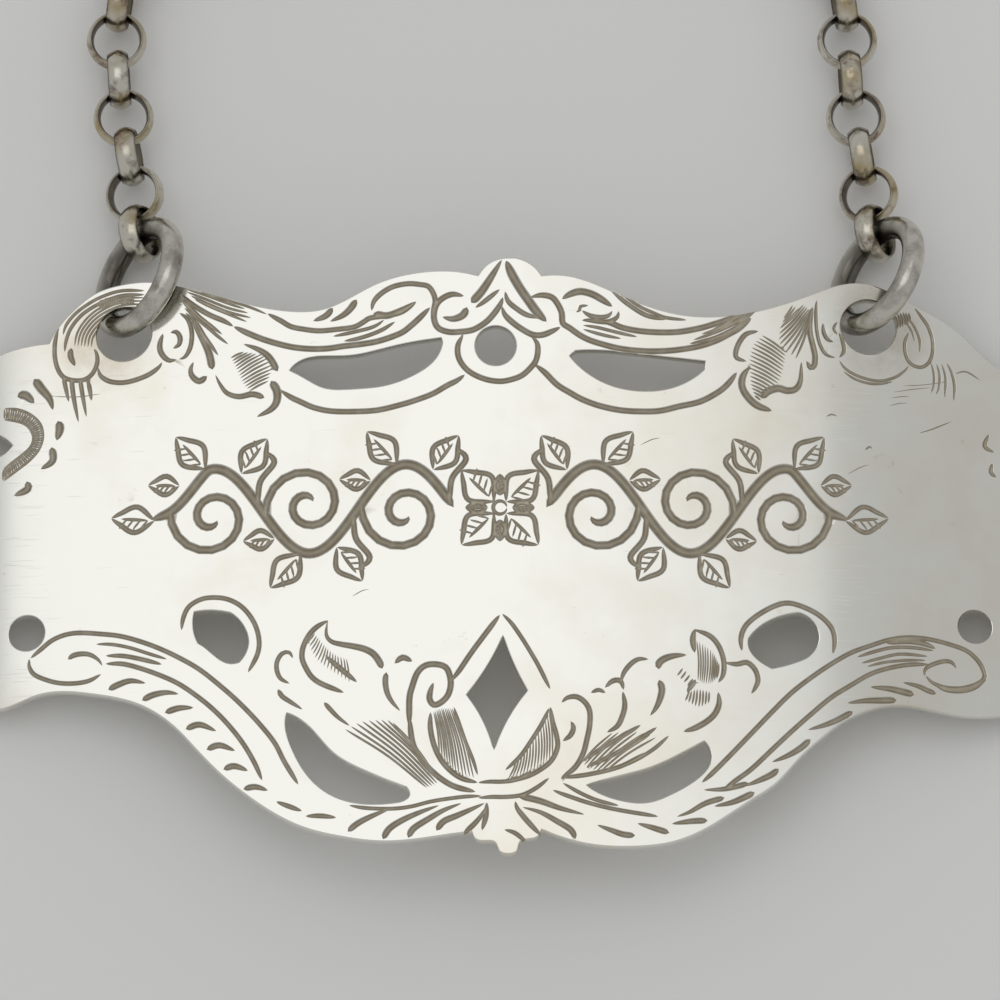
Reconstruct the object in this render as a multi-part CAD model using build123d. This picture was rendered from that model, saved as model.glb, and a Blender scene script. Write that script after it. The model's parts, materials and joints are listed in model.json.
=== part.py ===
# Pierced silver bottle label on its neck chain, laid flat, in millimetres.
# X runs along the label, Y up the label to the chain, Z out of its face.
from build123d import *
from math import asin, cos, pi, radians, sin, sqrt
import os

# Sheet of the label, bent to a bottle's shoulder about an axis along Y.
sheet_thickness = 0.6
bend_radius = 100.0

# Jump rings: round wire, one through each hole near the top edge.
ring_wire = 1.15
ring_mid_radius = 2.72
ring_hole_play = 1.05
ring_hole_diameter = ring_wire + sheet_thickness + ring_hole_play
left_hole = (-18.95, 11.80)
right_hole = (18.55, 12.15)

# Chain: round links of a band that is crowned inside and domed outside.
link_inner_radius = 1.14
link_crown = 0.16
link_band_thickness = 0.40
link_band_width = 1.10
link_flat_width = 0.40
link_slack = 0.22
link_outer_radius = link_inner_radius + link_band_thickness
link_pitch = 2 * link_inner_radius - link_slack
arch_links = 25

# Flats round a link, round a jump ring, and round the ring's wire.
link_sides = 22
ring_sides = 32
wire_sides = 12

# How the strands lie: leaning left, straightening before the arch.
strand_headings = [98.5, 98.5, 98.5, 97.0, 94.0, 91.0]

# Twist of the first links of each strand out of upright, where they follow the slanting ring.
link_twists = [-27.0, -16.0, -6.0]

# Rest pose of the rings: the turn about Y and tilt about X that let the wire pass the hole,
# where round the wire it crosses the sheet, and how far from the middle of the hole.
left_ring_turn = 49.8
right_ring_turn = 49.1
left_ring_tilt = -23.3
right_ring_tilt = -26.3
left_ring_crossing = -23.35
right_ring_crossing = -27.0
left_crossing_shift = (0.01, 0.48)
right_crossing_shift = (-0.34, 0.22)

# The label rests this much clear of the surface, on the backs of the rings behind it.
rest_lift = 0.6

# How far the first link of each strand hangs beyond the top of its ring.
first_link_reach = 0.20

# Edge of the label, cusp to cusp, beginning at the left shoulder.
left_shoulder = [(-22.75, 11.55), (-22.20, 12.47), (-21.30, 13.40), (-20.30, 14.07), (-19.20, 14.38),
                 (-17.85, 14.48), (-16.20, 14.18), (-13.30, 13.30), (-10.50, 12.68), (-8.95, 12.73),
                 (-6.30, 13.97), (-3.90, 14.59), (-2.65, 14.64), (-1.10, 14.38)]
peak_left = [(-1.10, 14.38), (-0.65, 14.95), (0.30, 15.31)]
peak_right = [(0.75, 15.31), (1.60, 14.95), (2.10, 14.38)]
right_shoulder = [(2.10, 14.38), (3.45, 14.38), (6.10, 13.40), (9.00, 12.47), (11.90, 12.53),
                  (15.75, 13.76), (17.10, 14.28), (18.20, 14.43), (19.35, 14.18), (20.80, 13.45),
                  (22.20, 12.73), (23.60, 11.70), (25.00, 10.46), (26.50, 9.69), (27.60, 8.35),
                  (28.00, 6.75), (27.70, 5.21), (27.00, 4.02)]
right_end = [(27.00, 4.02), (27.80, 2.99), (28.30, 1.34), (28.20, -0.46), (27.70, -1.65), (27.00, -2.27)]
right_foot = [(27.00, -2.27), (27.70, -3.20), (28.00, -4.59), (27.50, -6.13), (26.30, -7.22),
              (25.00, -7.58), (22.95, -7.68), (19.50, -7.32), (18.35, -7.63), (17.20, -8.20),
              (16.05, -9.12), (14.90, -10.21), (13.70, -11.55), (12.40, -12.47), (10.50, -13.76),
              (8.55, -14.64), (6.65, -14.90), (4.75, -14.85), (3.10, -14.48), (2.05, -14.07)]
finial = [(2.05, -14.07), (1.60, -14.54), (1.00, -14.70), (0.85, -15.15), (0.40, -15.31),
          (-0.05, -15.15), (-0.25, -14.74), (-0.95, -14.65), (-1.40, -14.18)]
left_foot = [(-1.40, -14.18), (-2.55, -14.33), (-4.50, -14.59), (-5.90, -14.64), (-7.85, -14.38),
             (-9.75, -13.87), (-11.20, -13.14), (-12.60, -12.16), (-13.75, -11.19), (-15.00, -9.90),
             (-16.20, -8.60), (-17.90, -7.42), (-20.30, -6.75), (-23.25, -6.70), (-25.00, -7.27),
             (-26.30, -7.01), (-27.50, -6.13), (-28.00, -4.59), (-27.70, -3.20), (-27.00, -2.27)]
left_end = [(-27.00, -2.27), (-27.70, -1.65), (-28.20, -0.46), (-28.30, 1.34), (-27.80, 2.99), (-27.00, 4.02)]
left_head = [(-27.00, 4.02), (-27.70, 5.21), (-28.00, 6.75), (-27.70, 8.45), (-26.90, 9.95),
             (-25.60, 10.95), (-24.20, 11.40), (-22.75, 11.55)]

# Pierced openings cut with the saw, each a closed row of points, cusps doubled as ends.
round_holes = [(-0.22, 10.72, 1.02), (-23.70, -3.43, 0.90), (23.78, -3.09, 0.86)]
upper_left_crescent = [[(-10.55, 9.59), (-10.10, 10.00), (-7.70, 10.26), (-5.35, 10.72), (-2.95, 11.13)],
                       [(-2.95, 11.13), (-2.90, 10.88)],
                       [(-2.90, 10.88), (-3.30, 10.00), (-4.35, 9.23), (-5.80, 8.71), (-7.50, 8.56),
                        (-8.85, 8.66), (-9.80, 9.18), (-10.55, 9.59)]]
upper_right_crescent = [[(3.50, 10.21), (3.80, 10.47)],
                        [(3.80, 10.47), (5.10, 10.50), (6.30, 10.41), (7.50, 10.29), (9.00, 10.16),
                         (10.30, 10.05)],
                        [(10.30, 10.05), (10.25, 9.64)],
                        [(10.25, 9.64), (9.45, 9.02), (8.50, 8.61), (7.05, 8.45), (5.90, 8.61),
                         (4.40, 9.33), (3.50, 10.21)]]
diamond = [[(0.15, -4.23), (0.65, -5.60), (1.35, -7.01)], [(1.35, -7.01), (0.40, -8.40), (-0.30, -10.00)],
           [(-0.30, -10.00), (-0.85, -8.50), (-1.65, -7.22)], [(-1.65, -7.22), (-0.65, -5.80), (0.15, -4.23)]]
lower_left_crescent = [[(-10.60, -8.04), (-9.25, -9.02), (-8.30, -10.10), (-6.85, -10.98), (-5.45, -11.60),
                        (-4.65, -11.91)],
                       [(-4.65, -11.91), (-4.50, -12.27), (-4.95, -12.63)],
                       [(-4.95, -12.63), (-6.40, -12.73), (-7.85, -12.47), (-8.80, -11.96), (-9.65, -11.08),
                        (-10.30, -9.90), (-10.65, -8.71), (-10.60, -8.04)]]
lower_right_crescent = [[(10.15, -9.48), (9.05, -10.10), (7.60, -10.82), (5.70, -11.39), (4.30, -11.80)],
                        [(4.30, -11.80), (5.10, -12.27), (6.15, -12.58), (7.30, -12.63), (8.55, -12.16),
                         (9.50, -11.60), (10.45, -10.52), (10.15, -9.48)]]
left_shield = [[(-15.25, -2.73), (-14.50, -2.68), (-13.45, -2.84)],
               [(-13.45, -2.84), (-12.70, -3.71), (-12.55, -4.43), (-12.70, -4.95), (-13.00, -5.36)],
               [(-13.00, -5.36), (-13.50, -5.41), (-14.50, -4.74), (-15.05, -4.33)],
               [(-15.05, -4.33), (-15.27, -3.71), (-15.25, -2.73)]]
right_shield = [[(12.40, -4.18), (13.10, -3.45), (14.00, -2.99), (14.85, -2.78)],
                [(14.85, -2.78), (15.60, -3.20), (15.90, -3.92), (15.70, -4.64), (15.15, -5.15)],
                [(15.15, -5.15), (14.35, -5.46), (13.55, -5.67)],
                [(13.55, -5.67), (13.00, -5.36), (12.45, -4.74), (12.40, -4.18)]]
left_eye = [[(-24.55, 6.34), (-25.60, 6.98), (-26.75, 6.34)],
            [(-26.75, 6.34), (-25.60, 5.70), (-24.55, 6.34)]]
right_eye = [[(25.50, 6.34), (26.10, 6.80), (26.85, 6.34)], [(26.85, 6.34), (26.10, 5.88), (25.50, 6.34)]]


def closed_face(runs):
    """Face inside a closed edge given as runs of points that meet at cusps."""
    edges = []
    for run in runs:
        if len(run) == 2:
            edges.append(Line(*run))
        else:
            edges.append(Spline(*run))
    return make_face(Wire(edges))


def sheet_drop(x):
    """How far the middle of the bent sheet lies below its crown at x."""
    return bend_radius - sqrt(bend_radius ** 2 - x ** 2)


# Label: the pierced outline cut straight down through the bent sheet.
edge_runs = [left_shoulder, peak_left, [peak_left[-1], peak_right[0]], peak_right, right_shoulder,
             right_end, right_foot, finial, left_foot, left_end, left_head]
edge_points = [point for run in edge_runs for point in run]
half_length = max(abs(x) for x, y in edge_points)
half_height = max(abs(y) for x, y in edge_points)
end_slope = asin(half_length / bend_radius)
crown_height = sheet_drop(half_length) + sheet_thickness / 2 * cos(end_slope) + rest_lift
outline = closed_face(edge_runs)
for x, y, radius in round_holes:
    outline -= Pos(x, y) * Circle(radius)
for x, y in (left_hole, right_hole):
    outline -= Pos(x, y) * Circle(ring_hole_diameter / 2)
openings = [upper_left_crescent, upper_right_crescent, diamond, lower_left_crescent, lower_right_crescent,
            left_shield, right_shield, left_eye, right_eye]
for runs in openings:
    outline -= closed_face(runs)
blank = Pos(0, 0, -sheet_thickness) * extrude(outline, crown_height + 2 * sheet_thickness)
axis_height = crown_height - bend_radius
outer_arc = Circle(bend_radius + sheet_thickness / 2)
inner_arc = Circle(bend_radius - sheet_thickness / 2)
shell = extrude(Plane.XZ * (outer_arc - inner_arc), half_height + sheet_thickness, both=True)
label_plate = blank & (Pos(0, 0, axis_height) * shell)


def ring_place(hole, shift, crossing, turn, tilt):
    """Place of a jump ring whose wire crosses the middle of the sheet near the middle of its hole."""
    x = hole[0] + shift[0]
    y = hole[1] + shift[1]
    z = crown_height - sheet_drop(x)
    slant = Rot(tilt, 0, 0) * Rot(0, -turn, 0)
    angle = radians(crossing)
    wire_point = slant * Pos(ring_mid_radius * sin(angle), -ring_mid_radius * cos(angle), 0)
    return Pos(Vector(x, y, z) - wire_point.position) * slant


def ring_top(place):
    """Middle of the wire at the top of a ring."""
    return (place * Pos(0, ring_mid_radius, 0)).position


def hoop(section, sides):
    """Closed hoop of flats: a section, as distances from the Z axis and heights, carried round that axis."""
    stations = []
    for i in range(sides):
        angle = 2 * pi * i / sides
        stations.append([(r * cos(angle), r * sin(angle), z) for r, z in section])
    flats = []
    for here, there in zip(stations, stations[1:] + stations[:1]):
        for k in range(len(section)):
            flats.append(Face(Wire.make_polygon([here[k - 1], here[k], there[k], there[k - 1]])))
    return Solid(Shell(flats))


# One link, flat on the XY plane; the middles of its inner flats keep the inner radius.
half_band = link_band_width / 2
half_flat = link_flat_width / 2
bore_corner = link_inner_radius / cos(pi / link_sides)
link_edge_radius = link_inner_radius + link_crown
flat_link = hoop([(bore_corner, 0), (link_edge_radius, half_band), (link_outer_radius, half_flat),
                  (link_outer_radius, -half_flat), (link_edge_radius, -half_band)], link_sides)

# One jump ring, flat on the XY plane.
wire_section = []
for i in range(wire_sides):
    angle = 2 * pi * i / wire_sides
    wire_section.append((ring_mid_radius + ring_wire / 2 * cos(angle), ring_wire / 2 * sin(angle)))
flat_ring = hoop(wire_section, ring_sides)

left_ring_place = ring_place(left_hole, left_crossing_shift, left_ring_crossing, left_ring_turn,
                             left_ring_tilt)
right_ring_place = ring_place(right_hole, right_crossing_shift, right_ring_crossing, right_ring_turn,
                              right_ring_tilt)
strand_span = ring_top(right_ring_place).X - ring_top(left_ring_place).X


def chain_path():
    """Middle of every link and its heading, from the left ring over the arch to the right ring."""
    strand = []
    x = ring_top(left_ring_place).X
    y = ring_top(left_ring_place).Y + first_link_reach
    for heading in strand_headings:
        strand.append((x, y, heading))
        x += link_pitch * cos(radians(heading))
        y += link_pitch * sin(radians(heading))
    low, high = -60.0, 60.0
    for _ in range(60):
        swell = (low + high) / 2
        steps = arch_steps(swell)
        reach = sum(link_pitch * cos(radians(step)) for step in steps)
        if reach < strand_span:
            low = swell
        else:
            high = swell
    steps = arch_steps(swell)
    places = list(strand)
    x, y, _ = strand[-1]
    for before, after in zip(steps[:-1], steps[1:]):
        x += link_pitch * cos(radians(before))
        y += link_pitch * sin(radians(before))
        places.append((x, y, (before + after) / 2))
    for x, y, heading in reversed(strand):
        places.append((x + strand_span, y, heading - 180))
    return places


def arch_steps(swell):
    """Headings between links over the arch: an even turn, tightened at the haunches by swell."""
    count = arch_links + 1
    steps = []
    for i in range(count):
        part = (i + 0.5) / count
        steps.append(90 - 180 * part - swell * sin(2 * pi * part))
    return steps


places = chain_path()
total_links = len(places)
middle = total_links // 2
names = []
for i in range(total_links):
    if i < middle:
        names.append(f"left_link_{i + 1:02d}")
    elif i == middle:
        names.append("crown_link")
    else:
        names.append(f"right_link_{total_links - i:02d}")

pieces = {"label_plate": label_plate}
pieces["left_jump_ring"] = left_ring_place * flat_ring
pieces["right_jump_ring"] = right_ring_place * flat_ring
for i, (x, y, heading) in enumerate(places):
    upright = 90 if i % 2 == 0 else 0
    twist = 0
    if i < len(link_twists):
        twist = link_twists[i]
    if total_links - 1 - i < len(link_twists):
        twist = -link_twists[total_links - 1 - i]
    link = Pos(x, y, link_outer_radius) * Rot(0, 0, heading) * Rot(upright + twist, 0, 0) * flat_link
    pieces[names[i]] = link

# The origin is the middle of the whole thing's footprint, on the surface it lies on.
boxes = [piece.bounding_box() for piece in pieces.values()]
low_x = min(box.min.X for box in boxes)
high_x = max(box.max.X for box in boxes)
low_y = min(box.min.Y for box in boxes)
high_y = max(box.max.Y for box in boxes)
low_z = min(box.min.Z for box in boxes)
to_origin = Pos(-(low_x + high_x) / 2, -(low_y + high_y) / 2, -low_z)

os.makedirs("parts", exist_ok=True)
for name, piece in pieces.items():
    export_step(to_origin * piece, f"parts/{name}.step")
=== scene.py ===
"""Silver bottle label with its jump rings and neck chain, laid flat on a pale table."""
import json
import math

import bpy
import numpy as np
from mathutils import Matrix, Vector
from mathutils.geometry import delaunay_2d_cdt


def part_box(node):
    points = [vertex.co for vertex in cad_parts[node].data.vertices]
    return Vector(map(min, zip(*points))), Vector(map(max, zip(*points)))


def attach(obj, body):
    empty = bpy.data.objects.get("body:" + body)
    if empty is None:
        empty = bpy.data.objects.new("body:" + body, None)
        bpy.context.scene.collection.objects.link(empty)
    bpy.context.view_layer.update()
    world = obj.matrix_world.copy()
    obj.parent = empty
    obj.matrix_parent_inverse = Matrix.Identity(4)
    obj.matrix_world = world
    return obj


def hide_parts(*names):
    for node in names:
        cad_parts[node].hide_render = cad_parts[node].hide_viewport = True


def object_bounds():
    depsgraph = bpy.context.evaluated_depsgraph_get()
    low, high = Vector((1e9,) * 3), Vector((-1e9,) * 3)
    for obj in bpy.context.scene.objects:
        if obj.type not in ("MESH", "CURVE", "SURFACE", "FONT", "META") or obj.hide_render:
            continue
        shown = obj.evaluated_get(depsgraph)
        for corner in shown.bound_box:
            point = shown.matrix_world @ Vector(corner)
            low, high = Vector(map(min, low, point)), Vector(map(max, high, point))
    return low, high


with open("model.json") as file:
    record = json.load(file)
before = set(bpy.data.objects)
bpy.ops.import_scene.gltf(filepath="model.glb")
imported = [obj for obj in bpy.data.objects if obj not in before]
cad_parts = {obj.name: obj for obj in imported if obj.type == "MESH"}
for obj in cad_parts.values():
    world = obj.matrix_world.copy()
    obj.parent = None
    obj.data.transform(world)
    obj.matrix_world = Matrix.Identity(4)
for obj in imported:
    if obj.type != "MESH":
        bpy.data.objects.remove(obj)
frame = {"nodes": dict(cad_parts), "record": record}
cad_box = [list(corner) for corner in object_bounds()]

# The label: one piece of sterling sheet, sawn to outline and pierced, bent to a bottle's shoulder, then
# engraved by hand. The cuts are real grooves with a flat-sided V section, and old dirt lies in them; their
# bottoms are painted lighter as a highlight.
mm = 0.001
sheet_thickness = 0.6
bend_radius = 100.0
edge_softness = 0.06
outline_step = 0.22
field_step = 0.8
stain_places = [(104, 334), (882, 322)]
stain_reach = 3.6
back_step = 1.6
cut_step = 0.18
hatch_step = 0.02
cut_slope = 0.45
run_length = 0.9
broad_run = 0.35
swell_power = 0.6
corner_turn = 0.3
crease_angle = math.radians(24)
facing_up = 0.5
block_size = 2000
tiny = 1e-9
photo_scale_across = 20.0
photo_scale_up = 19.4
photo_middle = (500, 556)
frame_middle = 500
peak_height = 15.31

label_low, label_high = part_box("label_plate")
label_top = label_high.z / mm
label_middle = label_high.y / mm - peak_height
bend_axis = label_top - bend_radius - sheet_thickness / 2


def through(points, step, closed=False):
    """Smooth run through the points, with a point about every step."""
    p = np.array(points, float)
    if closed:
        p = np.vstack([p[-1], p, p[0], p[1]])
    else:
        p = np.vstack([2 * p[0] - p[1], p, 2 * p[-1] - p[-2]])
    runs = []
    for a, b, c, d in zip(p[:-3], p[1:-2], p[2:-1], p[3:]):
        count = max(1, math.ceil(np.linalg.norm(c - b) / step))
        t = np.arange(count)[:, None] / count
        runs.append(0.5 * (2 * b + (c - a) * t + (2 * a - 5 * b + 4 * c - d) * t ** 2
                           + (3 * b - a - 3 * c + d) * t ** 3))
    if not closed:
        runs.append(p[-2][None])
    return np.vstack(runs)


def from_photo(points):
    """Places on the label in millimetres, from places in the photograph."""
    p = np.array(points, float)
    across = (p[:, 0] - photo_middle[0]) / photo_scale_across
    up = (photo_middle[1] - p[:, 1]) / photo_scale_up + label_middle
    return np.stack([across, up], 1)


def front_loops(node):
    """Edges of the front face of the CAD label, as loops of points: the outline first, then each opening."""
    mesh = node.data
    mesh.calc_loop_triangles()
    keys = [(round(v.co.x / mm, 3), round(v.co.y / mm, 3)) for v in mesh.vertices]
    edges = set()
    for triangle in mesh.loop_triangles:
        if triangle.normal.z < facing_up:
            continue
        a, b, c = (keys[i] for i in triangle.vertices)
        edges.update([(a, b), (b, c), (c, a)])
    following = {a: b for a, b in edges if (b, a) not in edges}
    loops = []
    while following:
        first = next(iter(following))
        loop = [first]
        point = following.pop(first)
        while point != first:
            loop.append(point)
            point = following.pop(point)
        loops.append(np.array(loop))
    loops.sort(key=lambda loop: -np.ptp(loop[:, 0]))
    return loops


def smooth_loop(loop, step):
    """A loop of points made smooth between its corners."""
    ahead = np.roll(loop, -1, 0) - loop
    behind = loop - np.roll(loop, 1, 0)
    turn = np.arctan2(behind[:, 0] * ahead[:, 1] - behind[:, 1] * ahead[:, 0], (behind * ahead).sum(1))
    corners = np.flatnonzero(abs(turn) > corner_turn)
    if len(corners) == 0:
        return through(loop, step, closed=True)
    ring = np.vstack([loop, loop])
    runs = []
    for start, end in zip(corners, list(corners[1:]) + [corners[0] + len(loop)]):
        runs.append(through(ring[start:end + 1], step)[:-1])
    return np.vstack(runs)


def inset(loop, distance):
    """A loop moved by a distance towards the metal, which lies on its left."""
    ahead = np.roll(loop, -1, 0) - loop
    behind = loop - np.roll(loop, 1, 0)
    left = np.stack([-(ahead + behind)[:, 1], (ahead + behind)[:, 0]], 1)
    return loop + distance * left / np.maximum(np.linalg.norm(left, axis=1), tiny)[:, None]


def inside(points, loops):
    """Which points lie on the metal: inside the outline and in no opening."""
    crossings = np.zeros(len(points), int)
    for loop in loops:
        a = loop
        b = np.roll(loop, -1, 0)
        for (ax, ay), (bx, by) in zip(a, b):
            if ay == by:
                continue
            spans = (ay > points[:, 1]) != (by > points[:, 1])
            crossings += spans & (points[:, 0] < (bx - ax) * (points[:, 1] - ay) / (by - ay) + ax)
    return crossings % 2 == 1


def along(points, path):
    """Distance of each point from a path, and how far along the path the nearest place is, from 0 to 1."""
    a = path[:-1]
    d = path[1:] - a
    length = np.maximum(np.linalg.norm(d, axis=1), tiny)
    before = np.concatenate([[0], np.cumsum(length)[:-1]])
    rel = points[:, None] - a
    t = np.clip((rel * d).sum(2) / length ** 2, 0, 1)
    gap = np.linalg.norm(rel - t[:, :, None] * d, axis=2)
    best = gap.argmin(1)
    row = np.arange(len(points))
    return gap[row, best], (before[best] + t[row, best] * length[best]) / length.sum()


label_loops = [smooth_loop(loop, outline_step) for loop in front_loops(frame["nodes"]["label_plate"])]


def leftward(path):
    """Direction to the left of a path at each of its points."""
    ahead = np.gradient(path, axis=0)
    left = np.stack([-ahead[:, 1], ahead[:, 0]], 1)
    return left / np.maximum(np.linalg.norm(ahead, axis=1), tiny)[:, None]


def parallels(points, count, gap):
    """A path and copies of it beside it on its left, a gap in millimetres apart."""
    path = through(from_photo(points), cut_step)
    return [path + gap * i * leftward(path) for i in range(count)]


def hatching(first, last, count, bow=0.03):
    """Short cuts from one path to another, evenly spaced, each a little bowed."""
    starts = through(from_photo(first), hatch_step)
    ends = through(from_photo(last), hatch_step)
    strokes = []
    for i in range(count):
        a = starts[round(i / (count - 1) * (len(starts) - 1))]
        b = ends[round(i / (count - 1) * (len(ends) - 1))]
        side = np.array([a[1] - b[1], b[0] - a[0]])
        strokes.append(through([a, (a + b) / 2 + bow * side, b], cut_step))
    return strokes


# Places in the photograph of every engraved cut, each with its width in millimetres. The cuts go by groups,
# from the left corner round the crest to the right corner, then along the foot. They taper at both ends.
left_corner_cuts = [
    (0.26, [(54, 318), (51, 332), (51, 346), (54, 358), (60, 367), (70, 371), (81, 371), (89, 366), (94, 356),
            (94, 347), (91, 340)]),
    (0.28, [(95, 360), (98, 368), (107, 374), (120, 376), (133, 374), (147, 369), (157, 362), (160, 357)]),
    (0.32, [(161, 328), (158, 337), (158, 345), (162, 352), (168, 356), (175, 355)]),
    (0.30, [(168, 328), (174, 327), (178, 333), (177, 340), (171, 344)]),
    (0.27, [(177, 308), (185, 314), (189, 323), (190, 334), (188, 345), (183, 353), (177, 355)]),
    (0.20, [(142, 284), (118, 283), (98, 288), (82, 296), (70, 305), (62, 315), (59, 325)]),
    (0.22, [(142, 288), (118, 288), (98, 294), (84, 301), (74, 309), (66, 320), (62, 332), (61, 342)]),
    (0.14, [(0, 395), (14, 397), (27, 403), (37, 413), (40, 426), (36, 439), (26, 450), (12, 460), (0, 469)]),
    (0.14, [(0, 407), (12, 409), (22, 413), (28, 420), (30, 428), (27, 436), (19, 443), (9, 450), (0, 456)]),
]
left_corner_rim = [(142, 291), (120, 291), (103, 296), (89, 304), (79, 314), (73, 325), (71, 337)]
left_corner_rays = [
    (0.30, [(178, 289), (190, 300), (207, 311), (222, 318), (232, 324)]),
    (0.20, [(178, 293), (190, 305), (200, 315), (210, 323), (221, 332)]),
    (0.20, [(180, 297), (193, 310), (206, 321), (216, 329)]),
    (0.20, [(182, 303), (193, 313), (207, 325), (217, 334), (227, 342)]),
    (0.22, [(183, 308), (195, 320), (203, 333), (210, 343), (217, 353)]),
    (0.16, [(183, 284), (200, 290), (225, 300), (244, 307)]),
    (0.16, [(184, 287), (203, 295), (226, 305), (247, 311)]),
    (0.16, [(188, 291), (206, 300), (226, 309), (250, 316)]),
    (0.16, [(192, 295), (210, 304), (228, 312), (246, 320)]),
    (0.16, [(199, 288), (222, 296), (248, 305), (266, 313)]),
    (0.18, [(186, 303), (198, 313), (209, 321)]),
    (0.18, [(187, 297), (198, 306), (213, 316)]),
]
crest_left_cuts = [
    (0.30, [(266, 312), (280, 320), (290, 326), (303, 329), (318, 331), (335, 330), (353, 328), (363, 323),
            (370, 319), (387, 317), (400, 314), (410, 308), (416, 303)]),
    (0.34, [(232, 324), (248, 332), (262, 338), (277, 343), (293, 347), (310, 349), (327, 349), (343, 347),
            (363, 345), (380, 342), (400, 335), (410, 328), (420, 319), (430, 309)]),
    (0.30, [(371, 312), (373, 303), (380, 295), (392, 288), (407, 285), (420, 286), (428, 288), (433, 295),
            (435, 303), (433, 311), (431, 319)]),
    (0.22, [(332, 337), (353, 333), (373, 328), (384, 321)]),
    (0.24, [(343, 342), (360, 339), (380, 332), (395, 323)]),
    (0.34, [(464, 298), (453, 296), (444, 299), (437, 305), (434, 313), (434, 322), (438, 330), (448, 334),
            (460, 334), (473, 332), (485, 325), (493, 317), (500, 307), (503, 299)]),
    (0.28, [(475, 310), (485, 303), (500, 291)]),
]
crest_hole_cuts = [
    (0.32, [(463, 337), (458, 347), (458, 358), (463, 368), (472, 376), (486, 382), (500, 384), (512, 382),
            (522, 378), (530, 371), (536, 363), (538, 353), (537, 345), (532, 339)]),
    (0.32, [(280, 390), (290, 397), (300, 402), (313, 408), (330, 412), (353, 413), (377, 412), (400, 407),
            (417, 402), (433, 396), (447, 388), (457, 383), (465, 377)]),
    (0.34, [(535, 367), (545, 375), (557, 387), (570, 395), (583, 402), (600, 408), (620, 412), (640, 413),
            (660, 412), (680, 407), (700, 402), (717, 393), (728, 384), (738, 371)]),
]
crest_right_cuts = [
    (0.50, [(506, 262), (512, 276), (520, 290), (529, 303), (537, 314), (547, 324)]),
    (0.30, [(505, 293), (508, 303), (517, 311), (527, 317), (540, 320)]),
    (0.34, [(502, 309), (505, 317), (513, 325), (523, 332), (533, 337), (543, 337), (553, 333), (561, 329)]),
    (0.34, [(531, 299), (542, 297), (552, 299), (558, 306), (562, 315), (563, 325), (570, 330), (580, 337),
            (590, 342), (603, 346), (620, 350), (640, 352), (660, 352), (680, 350), (700, 346), (717, 340),
            (730, 333), (740, 327), (753, 316)]),
    (0.40, [(562, 301), (570, 296), (580, 293), (591, 295), (601, 300), (613, 308)]),
    (0.30, [(619, 312), (618, 318), (610, 323), (600, 323), (590, 322), (582, 322)]),
    (0.30, [(582, 312), (590, 317), (600, 319), (609, 317), (613, 312)]),
    (0.18, [(576, 314), (580, 312), (581, 308), (589, 307)]),
    (0.34, [(597, 322), (610, 324), (623, 329), (640, 332), (660, 333), (680, 332), (700, 328), (713, 324),
            (727, 319), (740, 313), (752, 307)]),
    (0.20, [(583, 327), (597, 329), (610, 332), (623, 335), (638, 338)]),
    (0.20, [(583, 331), (597, 335), (610, 338), (622, 340)]),
    (0.28, [(613, 293), (630, 306), (647, 316), (667, 320)]),
    (0.20, [(621, 294), (640, 307), (653, 313), (667, 318), (688, 320)]),
    (0.20, [(690, 344), (715, 337), (735, 327), (751, 316)]),
    (0.18, [(694, 340), (718, 331), (738, 321), (753, 312)]),
    (0.18, [(702, 334), (722, 327), (741, 317), (755, 309)]),
    (0.18, [(712, 330), (730, 321), (748, 310)]),
    (0.18, [(735, 326), (748, 316), (760, 305)]),
]
right_leaf_cuts = [
    (0.30, [(760, 329), (748, 332), (741, 340), (737, 350), (738, 357), (748, 360)]),
    (0.42, [(750, 366), (744, 375), (743, 385), (748, 395), (758, 404), (773, 409)]),
    (0.36, [(815, 302), (812, 315), (812, 328), (815, 342), (817, 352), (816, 361), (812, 364), (808, 357)]),
]
right_corner_cuts = [
    (0.22, [(819, 295), (818, 310), (819, 327), (822, 340), (828, 350), (838, 353)]),
    (0.26, [(841, 327), (845, 336), (846, 346), (841, 353)]),
    (0.26, [(825, 318), (826, 328), (830, 335), (836, 337)]),
    (0.18, [(840, 316), (836, 323), (840, 330)]),
    (0.18, [(841, 355), (847, 363), (857, 369), (870, 373), (883, 374), (897, 370), (907, 363), (912, 357)]),
    (0.16, [(845, 366), (856, 373), (870, 377), (883, 377), (896, 374)]),
    (0.22, [(912, 323), (908, 333), (908, 343), (911, 352), (917, 357), (925, 358), (932, 353), (936, 343),
            (936, 330), (932, 317), (925, 307), (918, 298)]),
    (0.18, [(911, 308), (918, 318), (923, 330), (923, 344)]),
    (0.14, [(908, 312), (915, 322), (918, 333)]),
    (0.16, [(934, 352), (937, 363), (937, 375), (934, 384)]),
    (0.16, [(940, 353), (943, 365), (942, 378), (939, 385)]),
    (0.16, [(945, 353), (949, 367), (948, 388)]),
    (0.18, [(950, 352), (955, 361), (958, 375), (957, 391)]),
    (0.10, [(958, 363), (970, 360), (985, 368)]),
    (0.27, [(993, 421), (988, 434), (998, 440)]),
    (0.27, [(996, 450), (994, 460), (1000, 465)]),
]
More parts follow.
